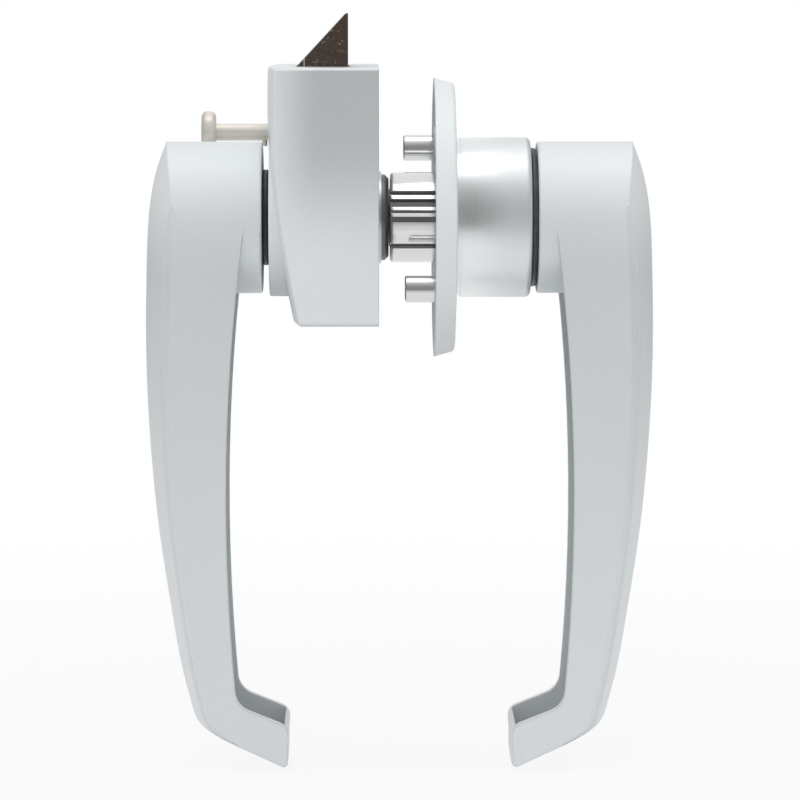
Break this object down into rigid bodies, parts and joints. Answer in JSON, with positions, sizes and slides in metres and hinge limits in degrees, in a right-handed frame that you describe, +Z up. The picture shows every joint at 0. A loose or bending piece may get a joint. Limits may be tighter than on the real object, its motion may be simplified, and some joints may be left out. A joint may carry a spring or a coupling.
{
  "type": "lever handle door lock",
  "caption": "Through-door lever latch: inside lever with cast latch case, wedge bolt and locking pin, outside lever on a round rose with studs and a fluted barrel.",
  "frame": {"origin": "where the spindle axis meets the latch case's back face, on the inside face of the door", "axes": "+X along the spindle from the inside lever to the outside lever, +Z up the way the bolt shoots, +Y away from the viewer of the picture"},
  "size_m": [0.1149, 0.063, 0.1708],
  "materials": {
    "silver_paint": "satin silver paint on die-cast zinc",
    "satin_chrome": "satin chrome plate",
    "bright_chrome": "bright chrome plate",
    "nickel": "warm nickel plate",
    "sintered_steel": "rough brown sintered steel, bevel ground bright",
    "zinc_steel": "bright zinc plate",
    "dark_steel": "dark oiled steel",
    "spring_steel": "drawn spring wire and strip",
    "black_nylon": "moulded black nylon",
    "black_rubber": "soft black rubber"
  },
  "bodies": {
    "lock_body": {"latch_case": "silver_paint", "back_plate": "zinc_steel", "back_plate_screws": "zinc_steel", "front_bush": "black_nylon", "bolt_spring": "spring_steel", "pin_bush": "nickel", "pin_friction_ring": "black_rubber", "rose": "silver_paint", "mounting_studs": "bright_chrome", "neck_sleeve": "satin_chrome", "barrel": "bright_chrome", "barrel_bushes": "black_nylon"},
    "lever_set": {"follower": "dark_steel", "inner_lever": "silver_paint", "outer_lever": "silver_paint", "lever_set_screw": "dark_steel", "lever_cross_pin": "dark_steel", "spindle": "zinc_steel", "inner_washer": "black_nylon", "outer_washer": "black_nylon", "outer_shaft": "dark_steel", "shaft_circlip": "spring_steel"},
    "latch_bolt": {"bolt": "sintered_steel"},
    "lock_pin_set": {"lock_pin": "nickel", "pin_stop": "nickel", "pin_clip": "spring_steel"}
  },
  "joints": [
    {"name": "lever_turn", "type": "hinge", "parent": "lock_body", "child": "lever_set", "pos_m": [0, 0, 0], "axis": [1, 0, 0], "range_deg": [0, 50]},
    {"name": "bolt_slide", "type": "slide", "parent": "lock_body", "child": "latch_bolt", "axis": [0, 0, -1], "range_m": [0, 0.0123], "stiffness_N_per_m": 350, "springref_m": -0.008, "deforming": ["bolt_spring"]},
    {"name": "lock_pin_slide", "type": "slide", "parent": "lock_body", "child": "lock_pin_set", "axis": [1, 0, 0], "range_m": [0, 0.008]}
  ],
  "couplings": [
    {"joint": "bolt_slide", "follows": "lever_turn", "m_per_rad": 0.01398}
  ]
}
